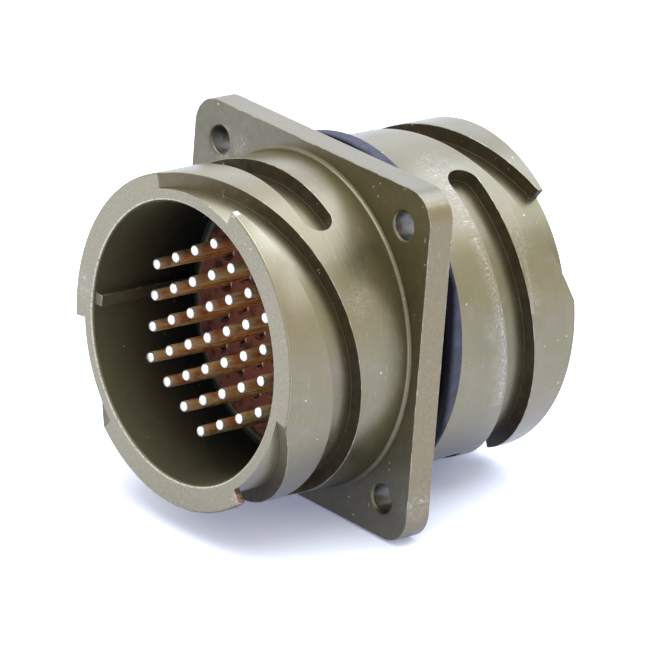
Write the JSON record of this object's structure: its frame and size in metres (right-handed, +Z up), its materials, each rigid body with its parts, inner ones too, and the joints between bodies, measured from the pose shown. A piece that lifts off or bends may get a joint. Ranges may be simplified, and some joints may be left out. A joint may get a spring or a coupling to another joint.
{
  "type": "bayonet circular connector receptacle",
  "caption": "Square-flanged bulkhead feed-through receptacle with spiral bayonet grooves on both barrels and pin contacts in a hexagonal pattern.",
  "frame": {"origin": "on the axis, at the flange's rear face, in the middle of the four mounting holes", "axes": "+Y along the axis towards the rear barrel, -Y towards the front barrel, +Z up, the coupling keys at -X"},
  "size_m": [0.0508, 0.051, 0.0508],
  "materials": {
    "olive_shell": "olive chromate, satin",
    "slate_rubber": "matte",
    "brown_resin": "moulded, glossy",
    "seal_rubber": "matte",
    "ring_steel": "dull grey",
    "contact_gold": "thin gold plate, polished"
  },
  "bodies": {
    "root": {"shell": "olive_shell", "panel_gasket": "slate_rubber", "insulator": "brown_resin", "insert_seal": "seal_rubber", "front_retaining_ring": "ring_steel", "rear_retaining_ring": "ring_steel", "contact_01": "contact_gold", "contact_02": "contact_gold", "contact_03": "contact_gold", "contact_04": "contact_gold", "contact_05": "contact_gold", "contact_06": "contact_gold", "contact_07": "contact_gold", "contact_08": "contact_gold", "contact_09": "contact_gold", "contact_10": "contact_gold", "contact_11": "contact_gold", "contact_12": "contact_gold", "contact_13": "contact_gold", "contact_14": "contact_gold", "contact_15": "contact_gold", "contact_16": "contact_gold", "contact_17": "contact_gold", "contact_18": "contact_gold", "contact_19": "contact_gold", "contact_20": "contact_gold", "contact_21": "contact_gold", "contact_22": "contact_gold", "contact_23": "contact_gold", "contact_24": "contact_gold", "contact_25": "contact_gold", "contact_26": "contact_gold", "contact_27": "contact_gold", "contact_28": "contact_gold", "contact_29": "contact_gold", "contact_30": "contact_gold", "contact_31": "contact_gold", "contact_32": "contact_gold", "contact_33": "contact_gold", "contact_34": "contact_gold", "contact_35": "contact_gold", "contact_36": "contact_gold", "contact_37": "contact_gold"}
  },
  "joints": []
}
